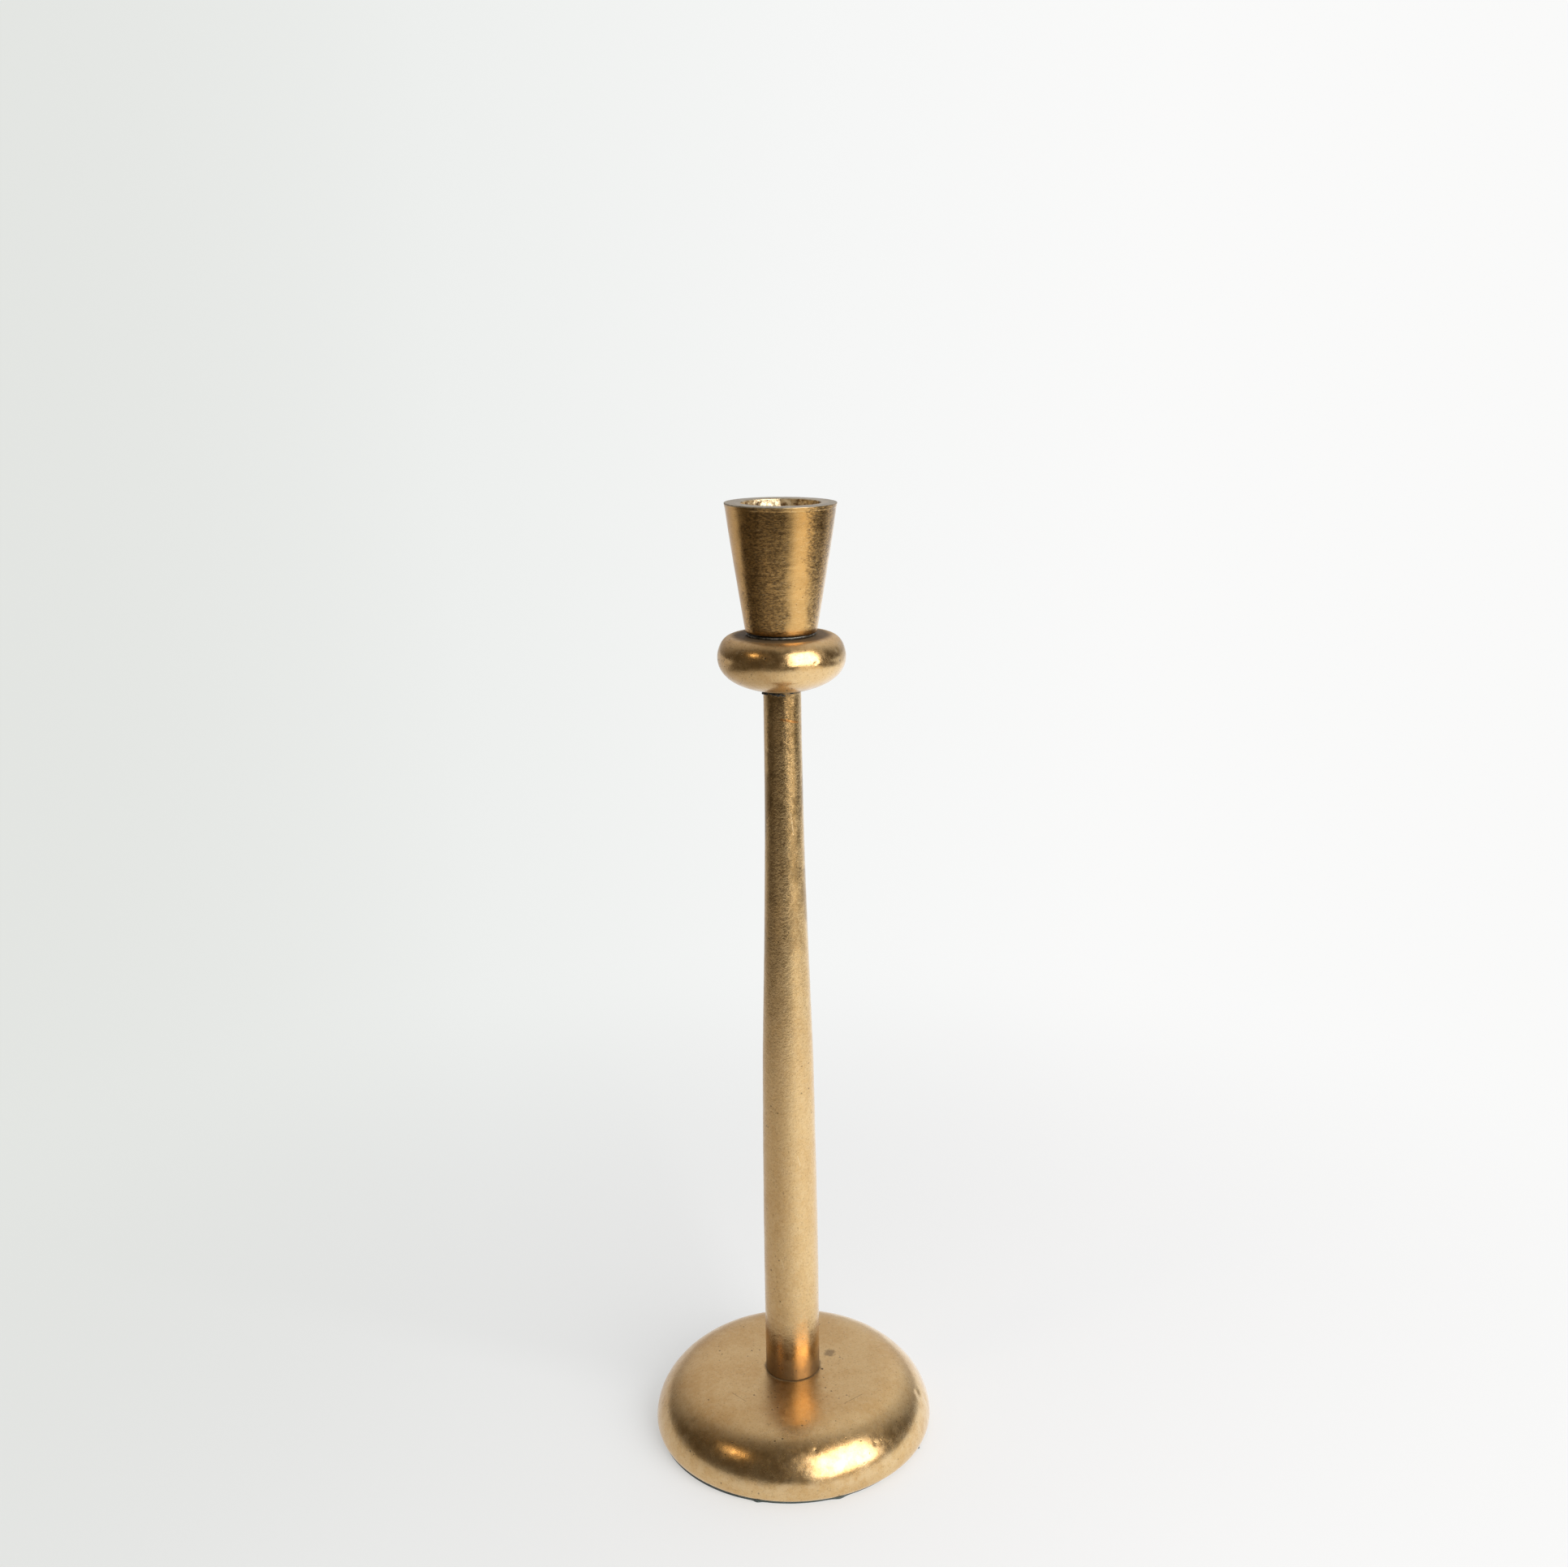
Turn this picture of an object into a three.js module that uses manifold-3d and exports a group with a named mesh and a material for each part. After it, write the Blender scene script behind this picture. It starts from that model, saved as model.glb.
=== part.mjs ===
// Brass candlestick: a turned base on a felt pad, a slim stem, a round collar and a candle cup that
// screws onto a stud. Millimetres, +Z up, origin at the centre of the felt's underside.

import * as THREE from "three";
import { mergeVertices } from "three/addons/utils/BufferGeometryUtils.js";
import Module from "manifold-3d";

const wasm = await Module();
wasm.setup();

// ---- Driving dimensions ----

// Felt glued under the base
const FELT_R = 42.1;
const FELT_T = 0.8;

// Cast base: widest a little above the felt, a rounded shoulder, then an almost flat top
const BASE_R = 43.83;
const BASE_WIDEST_Z = 2.9;
const BASE_FOOT_R = 42.5;
const SHOULDER_R = 28.7;
const SHOULDER_Z = 18.3;
const SHOULDER_POWER = 1.84;
const STEM_SEAT_R = 9.5;
const STEM_SEAT_Z = 18.5;

// The base is hollow underneath, with a short boss that the screw bears on
const HOLLOW_R = 38.2;
const HOLLOW_TOP_R = 33;
const HOLLOW_CORNER_R = 36.5;
const HOLLOW_CORNER_Z = 9.5;
const HOLLOW_ROOF_Z = 13;
const BOSS_R = 13;

// M8 hexagon screw and its two washers, from below into the stem
const SCREW_R = 4;
const SCREW_LENGTH = 35;
const HEX_ACROSS_FLATS = 13;
const HEX_T = 5.3;
const HEX_Z = FELT_T + 0.4;
const SPRING_WASHER_R = 7.4;
const SPRING_WASHER_T = 2;
const FLAT_WASHER_R = 8;
const FLAT_WASHER_T = 1.6;
const SCREW_SPLIT = 1.2;

// Stem: nearly straight below, drawn in towards the collar. [height, radius]
const STEM_OUTLINE = [
  [19, 8.5],
  [55, 8.5],
  [92, 8.2],
  [129, 7.6],
  [165, 6.55],
  [202, 5.7],
  [239.15, 5.5],
];
const STEM_EDGE = 0.5;

// Round collar with a flat top
const COLLAR_R = 18.4;
const COLLAR_MIDDLE_Z = 248.93;
const COLLAR_FLAT_R = 14.3;
const COLLAR_TOP_Z = 254.92;
const COLLAR_TOP_POWER = 1.84;
const COLLAR_BELLY = 10.08;
const COLLAR_BELLY_POWER = 2.21;

// M6 x 40 stud, 1 mm pitch, from the stem up through the collar into the cup
const STUD_R = 3;
const STUD_LENGTH = 40;
const STUD_TOP_Z = 265;

// Loose washer between collar and cup: it lies a little canted
const SEAT_WASHER_R = 10;
const SEAT_WASHER_T = 0.6;
const SEAT_WASHER_CANT = THREE.MathUtils.degToRad(-0.76);
const SEAT_GAP = 0.03;

// Candle cup: its thread is slightly off square, so it leans
const CUP_BOTTOM_Z = 255.95;
const CUP_LEAN = THREE.MathUtils.degToRad(0.586);
const CUP_HEIGHT = 36.3;
const CUP_BOTTOM_R = 10.22;
const CUP_RIM_R = 15.86;
const SOCKET_R = 11.25;
const SOCKET_FLOOR_R = 10;
const SOCKET_DEPTH = 23.8;
const CUP_THREAD_DEPTH = 10.2;

// Fits and edges
const THREAD_FIT = 0.12;
const CLEAR_HOLE = 0.45;
const EDGE = 0.3;
const DRILL_TIP = 0.6;

// Heights that follow from the stack
const HEX_TOP_Z = HEX_Z + HEX_T;
const FLAT_WASHER_Z = HEX_TOP_Z + SPRING_WASHER_T;
const BOSS_Z = FLAT_WASHER_Z + FLAT_WASHER_T;
const SCREW_TIP_Z = HEX_TOP_Z + SCREW_LENGTH;
const STEM_TOP_Z = STEM_OUTLINE.at(-1)[0];
const STEM_TOP_R = STEM_OUTLINE.at(-1)[1];
const STEM_FOOT_R = STEM_OUTLINE[0][1];
const STUD_BOTTOM_Z = STUD_TOP_Z - STUD_LENGTH;

// Sides of the turned pieces
const LARGE_SIDES = 64;
const MEDIUM_SIDES = 48;
const SMALL_SIDES = 24;

// ---- Shape helpers ----

const at = (r, z) => new THREE.Vector2(r, z);

// A body of revolution about Z. The outline runs up its outside, and starts and ends on the axis.
function turned(outline, sides) {
  return new THREE.LatheGeometry(outline, sides).rotateX(Math.PI / 2);
}

// The same for a body with a hole through it: the outline closes on itself.
function turnedRing(outline, sides) {
  return turned([...outline, outline[0]], sides);
}

// Quarter of a superellipse, from its widest point at height z to the inner radius at z + rise.
// With reach below 1 it stops at that share of the rise.
function quarter({ inner, width, z, rise, power, steps, reach = 1 }) {
  const last = Math.asin(reach ** (power / 2));
  return Array.from({ length: steps + 1 }, (_, i) => {
    const angle = (last * i) / steps;
    return at(
      inner + width * Math.cos(angle) ** (2 / power),
      z + rise * Math.sin(angle) ** (2 / power),
    );
  });
}

// Four points of a washer's outline with its edges broken, for turnedRing.
function washer(inner, outer, z, thickness, edge) {
  return [
    at(inner, z),
    at(outer - edge, z),
    at(outer, z + edge),
    at(outer, z + thickness - edge),
    at(outer - edge, z + thickness),
    at(inner, z + thickness),
  ];
}

// A plain round rod with chamfered ends.
function rod(r, bottom, top, chamfer) {
  return [
    at(0, bottom),
    at(r - chamfer, bottom),
    at(r, bottom + chamfer),
    at(r, top - chamfer),
    at(r - chamfer, top),
    at(0, top),
  ];
}

// A three.js geometry as a solid that can be joined and cut.
function solid(geometry) {
  const bare = geometry.index ? geometry.toNonIndexed() : geometry.clone();
  bare.deleteAttribute("normal");
  bare.deleteAttribute("uv");
  const merged = mergeVertices(bare, 1e-4);
  return new wasm.Manifold(
    new wasm.Mesh({
      numProp: 3,
      vertProperties: merged.attributes.position.array,
      triVerts: new Uint32Array(merged.index.array),
    }),
  );
}

// A solid back as a three.js geometry.
function geometryOf(body) {
  const mesh = body.getMesh();
  const geometry = new THREE.BufferGeometry();
  geometry.setAttribute("position", new THREE.BufferAttribute(mesh.vertProperties, 3));
  geometry.setIndex(new THREE.BufferAttribute(mesh.triVerts, 1));
  geometry.computeVertexNormals();
  return geometry;
}

// ---- Materials ----

const metal = (color, roughness) =>
  new THREE.MeshStandardMaterial({ color, roughness, metalness: 1 });

const castBrass = () => metal(0xb08a55, 0.32);
const agedBrass = () => metal(0x9a7440, 0.38);
const steel = () => metal(0x8f9296, 0.4);
const darkSteel = () => metal(0x4a4b46, 0.5);
const greenFelt = () =>
  new THREE.MeshStandardMaterial({ color: 0x1f3d31, roughness: 1, metalness: 0 });

function piece(name, geometry, material) {
  const mesh = new THREE.Mesh(geometry, material);
  mesh.name = name;
  return mesh;
}

// ---- Pieces ----

function feltPad() {
  const outline = [at(0, 0), at(FELT_R, 0), at(FELT_R, FELT_T), at(0, FELT_T)];
  return piece("felt_pad", turned(outline, LARGE_SIDES), greenFelt());
}

function base() {
  const lowerEdge = quarter({
    inner: BASE_FOOT_R,
    width: BASE_R - BASE_FOOT_R,
    z: BASE_WIDEST_Z,
    rise: FELT_T - BASE_WIDEST_Z,
    power: 2,
    steps: 4,
  }).reverse();
  const shoulder = quarter({
    inner: SHOULDER_R,
    width: BASE_R - SHOULDER_R,
    z: BASE_WIDEST_Z,
    rise: SHOULDER_Z - BASE_WIDEST_Z,
    power: SHOULDER_POWER,
    steps: 11,
  });
  const outline = [
    at(HOLLOW_R, FELT_T),
    ...lowerEdge,
    ...shoulder.slice(1),
    at(STEM_SEAT_R, STEM_SEAT_Z),
    at(SCREW_R + CLEAR_HOLE, STEM_SEAT_Z),
    at(SCREW_R + CLEAR_HOLE, BOSS_Z),
    at(BOSS_R, BOSS_Z),
    at(BOSS_R, HOLLOW_ROOF_Z),
    at(HOLLOW_TOP_R, HOLLOW_ROOF_Z),
    at(HOLLOW_CORNER_R, HOLLOW_CORNER_Z),
  ];
  return piece("base", turnedRing(outline, LARGE_SIDES), castBrass());
}

function baseScrew() {
  const cornerR = HEX_ACROSS_FLATS / Math.sqrt(3);
  const head = new THREE.CylinderGeometry(cornerR, cornerR, HEX_T, 6)
    .rotateX(Math.PI / 2)
    .translate(0, 0, HEX_Z + HEX_T / 2);
  const shank = turned(rod(SCREW_R, HEX_Z + 1, SCREW_TIP_Z, 1), SMALL_SIDES);
  return piece("base_screw", geometryOf(solid(head).add(solid(shank))), steel());
}

// A split ring, cut through on one side by a slanting slot.
function baseSpringWasher() {
  const outline = washer(
    SCREW_R + CLEAR_HOLE, SPRING_WASHER_R, HEX_TOP_Z, SPRING_WASHER_T, EDGE / 2,
  );
  const slot = new THREE.BoxGeometry(SPRING_WASHER_R, SCREW_SPLIT, 3 * SPRING_WASHER_T)
    .rotateX(Math.PI / 6)
    .translate(SPRING_WASHER_R, 0, HEX_TOP_Z + SPRING_WASHER_T / 2);
  const body = solid(turnedRing(outline, SMALL_SIDES)).subtract(solid(slot));
  return piece("base_spring_washer", geometryOf(body), steel());
}

function baseFlatWasher() {
  const outline = washer(
    SCREW_R + CLEAR_HOLE, FLAT_WASHER_R, FLAT_WASHER_Z, FLAT_WASHER_T, EDGE / 2,
  );
  return piece("base_flat_washer", turnedRing(outline, SMALL_SIDES), steel());
}

// The stem has a blind tapped hole in each end.
function stem() {
  const curve = new THREE.SplineCurve(STEM_OUTLINE.map(([z, r]) => at(r, z)));
  const screwHoleR = SCREW_R + THREAD_FIT;
  const studHoleR = STUD_R + THREAD_FIT;
  const outline = [
    at(0, SCREW_TIP_Z + 2 + DRILL_TIP * screwHoleR),
    at(screwHoleR, SCREW_TIP_Z + 2),
    at(screwHoleR, STEM_SEAT_Z),
    at(STEM_FOOT_R - STEM_EDGE, STEM_SEAT_Z),
    ...curve.getPoints(2 * (STEM_OUTLINE.length - 1)),
    at(studHoleR, STEM_TOP_Z),
    at(studHoleR, STUD_BOTTOM_Z - 1),
    at(0, STUD_BOTTOM_Z - 1 - DRILL_TIP * studHoleR),
  ];
  return piece("stem", turned(outline, MEDIUM_SIDES), castBrass());
}

function stemStud() {
  const outline = rod(STUD_R, STUD_BOTTOM_Z, STUD_TOP_Z, EDGE);
  return piece("stem_stud", turned(outline, SMALL_SIDES), steel());
}

function collar() {
  const belly = quarter({
    inner: 0,
    width: COLLAR_R,
    z: COLLAR_MIDDLE_Z,
    rise: -COLLAR_BELLY,
    power: COLLAR_BELLY_POWER,
    steps: 10,
    reach: (COLLAR_MIDDLE_Z - STEM_TOP_Z) / COLLAR_BELLY,
  }).reverse();
  const crown = quarter({
    inner: COLLAR_FLAT_R,
    width: COLLAR_R - COLLAR_FLAT_R,
    z: COLLAR_MIDDLE_Z,
    rise: COLLAR_TOP_Z - COLLAR_MIDDLE_Z,
    power: COLLAR_TOP_POWER,
    steps: 7,
  });
  const outline = [
    at(STUD_R + CLEAR_HOLE, STEM_TOP_Z),
    ...belly,
    ...crown.slice(1),
    at(STUD_R + CLEAR_HOLE, COLLAR_TOP_Z),
  ];
  return piece("collar", turnedRing(outline, MEDIUM_SIDES), castBrass());
}

// The washer's low side just clears the collar.
function seatWasher() {
  const outline = washer(STUD_R + CLEAR_HOLE, SEAT_WASHER_R, 0, SEAT_WASHER_T, EDGE / 2);
  const mesh = piece("seat_washer", turnedRing(outline, MEDIUM_SIDES), darkSteel());
  const drop = SEAT_WASHER_R * Math.sin(-SEAT_WASHER_CANT);
  mesh.position.z = COLLAR_TOP_Z + SEAT_GAP + drop;
  mesh.rotation.y = SEAT_WASHER_CANT;
  return mesh;
}

// Drawn on its own axis from its own bottom face. The tapped hole stays upright on the stud.
function candleCup() {
  const floorZ = CUP_HEIGHT - SOCKET_DEPTH;
  const outline = [
    at(0, 0),
    at(CUP_BOTTOM_R - EDGE, 0),
    at(CUP_BOTTOM_R, EDGE),
    at(CUP_RIM_R, CUP_HEIGHT - EDGE),
    at(CUP_RIM_R - EDGE, CUP_HEIGHT),
    at(SOCKET_R + EDGE, CUP_HEIGHT),
    at(SOCKET_R, CUP_HEIGHT - EDGE),
    at(SOCKET_FLOOR_R, floorZ + EDGE),
    at(SOCKET_FLOOR_R - EDGE, floorZ),
    at(0, floorZ),
  ];
  const holeR = STUD_R + THREAD_FIT;
  const hole = turned(
    [
      at(0, -1),
      at(holeR, -1),
      at(holeR, CUP_THREAD_DEPTH),
      at(0, CUP_THREAD_DEPTH + DRILL_TIP),
    ],
    SMALL_SIDES,
  ).rotateY(-CUP_LEAN);
  const body = solid(turned(outline, MEDIUM_SIDES)).subtract(solid(hole));
  const mesh = piece("candle_cup", geometryOf(body), agedBrass());
  mesh.position.z = CUP_BOTTOM_Z;
  mesh.rotation.y = CUP_LEAN;
  return mesh;
}

// ---- Assembly ----

const stand = new THREE.Group();
stand.add(
  feltPad(),
  base(),
  baseScrew(),
  baseSpringWasher(),
  baseFlatWasher(),
  stem(),
  stemStud(),
  collar(),
);

const cupAssembly = new THREE.Group();
cupAssembly.add(seatWasher(), candleCup());

const candlestick = new THREE.Group();
candlestick.add(stand, cupAssembly);

export default candlestick;
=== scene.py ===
"""Looks of the brass candlestick: cast grain, patina, threads and felt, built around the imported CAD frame.

Sizes are in millimetres where a name is a dimension of the object; meshes are written in metres, +Z up.
"""

import itertools
import math

import bmesh
import bpy
import numpy as np
from mathutils import Matrix, Vector


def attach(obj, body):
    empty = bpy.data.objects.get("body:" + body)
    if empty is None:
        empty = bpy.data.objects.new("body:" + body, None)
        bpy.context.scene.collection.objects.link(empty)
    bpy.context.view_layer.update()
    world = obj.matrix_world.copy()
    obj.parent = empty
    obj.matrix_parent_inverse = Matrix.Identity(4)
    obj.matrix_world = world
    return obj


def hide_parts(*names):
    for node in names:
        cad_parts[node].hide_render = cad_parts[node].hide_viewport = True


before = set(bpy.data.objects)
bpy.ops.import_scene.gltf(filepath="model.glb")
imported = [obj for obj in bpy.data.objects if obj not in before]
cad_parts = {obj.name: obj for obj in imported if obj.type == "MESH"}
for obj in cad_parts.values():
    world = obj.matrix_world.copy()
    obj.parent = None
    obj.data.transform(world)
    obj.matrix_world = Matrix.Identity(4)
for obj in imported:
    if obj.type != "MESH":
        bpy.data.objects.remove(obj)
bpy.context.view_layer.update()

MM = 0.001

# ---- Driving dimensions, the same as the CAD's ----

FELT_R = 42.1
FELT_T = 0.8
FELT_OFFSET = (-0.55, -0.45, 0)
FELT_EDGE_R = 41.2
FELT_EDGE_RUN = 0.8

BASE_R = 43.83
BASE_WIDEST_Z = 2.9
BASE_FOOT_R = 42.5
SHOULDER_R = 28.7
SHOULDER_Z = 18.3
SHOULDER_POWER = 1.84
DOME_FROM_R = 36
DOME_RUN = 17
STEM_SEAT_R = 9.5
STEM_SEAT_Z = 18.5
HOLLOW_R = 38.2
HOLLOW_TOP_R = 33
HOLLOW_CORNER_R = 36.5
HOLLOW_CORNER_Z = 9.5
HOLLOW_ROOF_Z = 13
BOSS_R = 13
BOSS_Z = 10.1

SCREW_R = 4
SCREW_PITCH = 1.25
SCREW_TIP_Z = 41.5
HEX_ACROSS_FLATS = 13
HEX_Z = 1.2
HEX_TOP_Z = 6.5
SPRING_WASHER_R = 7.4
SPRING_WASHER_T = 2
FLAT_WASHER_R = 8
FLAT_WASHER_T = 1.6
WASHER_HOLE_R = 4.45
SPLIT_GAP = 1.2

STEM_OUTLINE = [(19, 8.5), (55, 8.5), (92, 8.2), (129, 7.6), (165, 6.55), (202, 5.7), (239.15, 5.5)]
STEM_EDGE = 0.28
STEM_TOP_Z = STEM_OUTLINE[-1][0]
STEM_FOOT_R = STEM_OUTLINE[0][1]
STEM_FOOT_TOP_Z = 20.5
STEM_TOP_R = STEM_OUTLINE[-1][1]
SCREW_HOLE_R = 4.12
SCREW_HOLE_TOP = 43.5
STUD_HOLE_R = 3.12
STUD_HOLE_BOTTOM = 224
DRILL_TIP = 0.6

COLLAR_R = 18.4
COLLAR_MIDDLE_Z = 248.93
COLLAR_FLAT_R = 14.3
COLLAR_TOP_Z = 254.92
COLLAR_TOP_POWER = 1.84
COLLAR_BELLY = 10.08
COLLAR_BELLY_POWER = 2.21
COLLAR_HOLE_R = 3.45
COLLAR_INNER_R = 11

STUD_R = 3
STUD_PITCH = 1
STUD_BOTTOM_Z = 225
STUD_TOP_Z = 265

RING_R = 10
RING_T = 0.6
RING_CANT = math.radians(-0.76)
RING_GAP = 0.03

CUP_BOTTOM_Z = 255.95
CUP_LEAN = math.radians(0.586)
CUP_HEIGHT = 36.3
CUP_BOTTOM_R = 10.22
CUP_RIM_R = 15.86
SOCKET_R = 11.25
SOCKET_FLOOR_R = 10
SOCKET_DEPTH = 23.8
CUP_THREAD_DEPTH = 10.2
CUP_FLARE = 5.3
BORE_WITHIN_R = 11.6

# ---- Outlines: lists of (radius, height), running up the outside ----


def quarter(inner, width, z, rise, power, steps, reach=1.0):
    """Quarter of a superellipse from its widest point at height z, up or down to z + rise."""
    angle = np.linspace(0, math.asin(reach ** (power / 2)), steps + 1)
    return np.column_stack([
        inner + width * np.cos(angle).clip(0) ** (2 / power),
        z + rise * np.sin(angle).clip(0) ** (2 / power),
    ])


def rounded(corners, steps=4):
    """A path through corners (r, z, size), each corner rounded off over `size` to either side."""
    path = []
    for i, (r, z, size) in enumerate(corners):
        here = np.array([r, z], float)
        if not size or i in (0, len(corners) - 1):
            path.append(here)
            continue
        before = np.array(corners[i - 1][:2], float) - here
        after = np.array(corners[i + 1][:2], float) - here
        start = here + before * min(0.45, size / np.linalg.norm(before))
        end = here + after * min(0.45, size / np.linalg.norm(after))
        for t in np.linspace(0, 1, steps + 1):
            path.append((1 - t) ** 2 * start + 2 * t * (1 - t) * here + t * t * end)
    return np.array(path)


def divided(path, step):
    """The same path with extra points, so that none is more than `step` from the next."""
    made = [path[0]]
    for a, b in zip(path[:-1], path[1:]):
        count = max(1, math.ceil(np.linalg.norm(b - a) / step))
        made += [a + (b - a) * k / count for k in range(1, count + 1)]
    return np.array(made)


def softened(path, reach):
    """The path with its small kinks smoothed away over `reach` points; its ends stay."""
    kernel = np.exp(-0.5 * (np.arange(-3 * reach, 3 * reach + 1) / reach) ** 2)
    kernel /= kernel.sum()
    padded = np.concatenate([
        2 * path[0] - path[3 * reach : 0 : -1], path, 2 * path[-1] - path[-2 : -3 * reach - 2 : -1],
    ])
    return np.column_stack([np.convolve(padded[:, k], kernel, "valid") for k in (0, 1)])


def curve_through(points, count):
    """A Catmull-Rom curve through (z, r) points, as (r, z) rows."""
    p = np.array([points[0], *points, points[-1]], float)
    made = []
    for u in np.linspace(0, len(points) - 1, count):
        i = min(int(u), len(points) - 2)
        t = u - i
        a, b, c, d = p[i : i + 4]
        made.append(0.5 * (
            2 * b + (c - a) * t + (2 * a - 5 * b + 4 * c - d) * t * t + (3 * b - a - 3 * c + d) * t ** 3
        ))
    return np.array(made)[:, ::-1]


# ---- Noise for the shapes ----

NOISE_CELLS = 24


def lumps(points, size, seed):
    """Smooth noise from -1 to 1 at points in mm, its lumps about `size` across."""
    lattice = np.random.default_rng(seed).uniform(-1, 1, (NOISE_CELLS,) * 3)
    scaled = points / size + 400
    cell = np.floor(scaled).astype(int)
    t = scaled - cell
    t = t ** 3 * (t * (6 * t - 15) + 10)
    total = np.zeros(len(points))
    for corner in itertools.product((0, 1), repeat=3):
        weight = np.prod(np.where(corner, t, 1 - t), axis=1)
        total += weight * lattice[tuple(((cell + corner) % NOISE_CELLS).T)]
    return total


def dents(points, places):
    """How deep the surface is pressed in near each (centre, radius, depth)."""
    total = np.zeros(len(points))
    for centre, radius, depth in places:
        away = np.linalg.norm(points - np.array(centre), axis=1) / radius
        total -= depth * np.exp(-away ** 2)
    return total


# ---- Mesh building ----


def in_scene(name, data):
    """An object that holds this data, linked to the scene."""
    made = bpy.data.objects.new(name, data)
    bpy.context.scene.collection.objects.link(made)
    return made


def smooth(mesh):
    mesh.polygons.foreach_set("use_smooth", np.ones(len(mesh.polygons), bool))
    return mesh


def mesh_object(name, points_mm, faces):
    """A smooth-shaded object from points in mm and faces as rows of point numbers."""
    mesh = bpy.data.meshes.new(name)
    mesh.from_pydata((np.asarray(points_mm) * MM).tolist(), [], faces)
    smooth(mesh).update()
    return in_scene(name, mesh)


def grid_faces(rows, sides, around_rows=False):
    """Quads of a grid that closes on itself sideways, and along its rows too if asked."""
    i, j = np.meshgrid(np.arange(rows if around_rows else rows - 1), np.arange(sides), indexing="ij")
    up, over = (i + 1) % rows, (j + 1) % sides
    quads = np.stack([i * sides + j, i * sides + over, up * sides + over, up * sides + j], axis=-1)
    return quads.reshape(-1, 4)


def turned(name, outline, sides, reshape=None, relief=None, place=None):
    """A turned piece. An outline that starts on the axis is closed there, another closes on itself.

    reshape(r, angle, z) gives a new radius, relief(points, outline r, outline z) a height along the
    surface's normal in mm, and place(points) moves the finished points.
    """
    outline = np.asarray(outline, float)
    solid = outline[0, 0] == 0
    rim = outline[1:-1] if solid else outline
    if solid:
        slope = np.gradient(outline, axis=0)[1:-1]
    else:
        slope = np.roll(rim, -1, axis=0) - np.roll(rim, 1, axis=0)
    slope /= np.linalg.norm(slope, axis=1, keepdims=True).clip(1e-9)
    angle = np.linspace(0, 2 * math.pi, sides, endpoint=False)
    a = np.tile(angle, len(rim))
    r, z = (np.repeat(rim[:, k], sides) for k in (0, 1))
    n_r, n_z = np.repeat(slope[:, 1], sides), np.repeat(-slope[:, 0], sides)
    if reshape:
        r = reshape(r, a, z)
    points = np.column_stack([r * np.cos(a), r * np.sin(a), z])
    if relief:
        height = relief(points, r, z)
        points += height[:, None] * np.column_stack([n_r * np.cos(a), n_r * np.sin(a), n_z])
    faces = grid_faces(len(rim), sides, around_rows=not solid).tolist()
    if solid:
        first, last = len(points), len(points) + 1
        points = np.vstack([points, [0, 0, outline[0, 1]], [0, 0, outline[-1, 1]]])
        top = (len(rim) - 1) * sides
        for j in range(sides):
            over = (j + 1) % sides
            faces.append([first, over, j])
            faces.append([last, top + j, top + over])
    if place:
        points = place(points)
    return mesh_object(name, points, faces)


def leant(points, angle, pivot_z):
    """Points turned about a line along +Y through the axis at pivot_z."""
    c, s = math.cos(angle), math.sin(angle)
    x, z = points[:, 0], points[:, 2]
    return np.column_stack([x * c + z * s, points[:, 1], pivot_z - x * s + z * c])


def finished(piece, body, node, material):
    """Gives a piece its material and its body, and hides the CAD node that it stands for."""
    piece.data.materials.append(material)
    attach(piece, body)
    if node:
        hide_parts(node)
    return piece


# ---- Materials ----


class Nodes:
    """Short calls that build a node tree."""

    def __init__(self, tree):
        self.tree = tree
        tree.nodes.clear()

    def add(self, kind, inputs=None, **settings):
        node = self.tree.nodes.new(kind)
        for key, value in settings.items():
            setattr(node, key, value)
        for key, value in (inputs or {}).items():
            if isinstance(value, bpy.types.NodeSocket):
                self.tree.links.new(value, node.inputs[key])
            elif value is not None:
                node.inputs[key].default_value = value
        return node

    def math(self, operation, a, b=None, c=None, clamp=False):
        inputs = {0: a, 1: b, 2: c}
        return self.add("ShaderNodeMath", inputs, operation=operation, use_clamp=clamp).outputs[0]

    def vector(self, operation, a, b=None, scale=None):
        node = self.add("ShaderNodeVectorMath", {0: a, 1: b}, operation=operation)
        if scale is not None:
            node.inputs["Scale"].default_value = scale
        gives_number = operation in ("LENGTH", "DOT_PRODUCT")
        return node.outputs["Value" if gives_number else "Vector"]

    def span(self, value, low, high, to_low=0.0, to_high=1.0):
        """value eased from low..high to to_low..to_high. low may be above high."""
        return self.add("ShaderNodeMapRange", {
            "Value": value, "From Min": low, "From Max": high, "To Min": to_low, "To Max": to_high,
        }, interpolation_type="SMOOTHSTEP").outputs["Result"]

    def blend(self, factor, a, b):
        """Colour a, with b over it by factor."""
        a, b = (v if isinstance(v, bpy.types.NodeSocket) else (*v, 1.0) for v in (a, b))
        return self.add("ShaderNodeMix", {0: factor, 6: a, 7: b}, data_type="RGBA").outputs[2]

    def glow(self, colour):
        return self.add("ShaderNodeEmission", {"Color": colour, "Strength": 1.0}).outputs[0]


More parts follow.
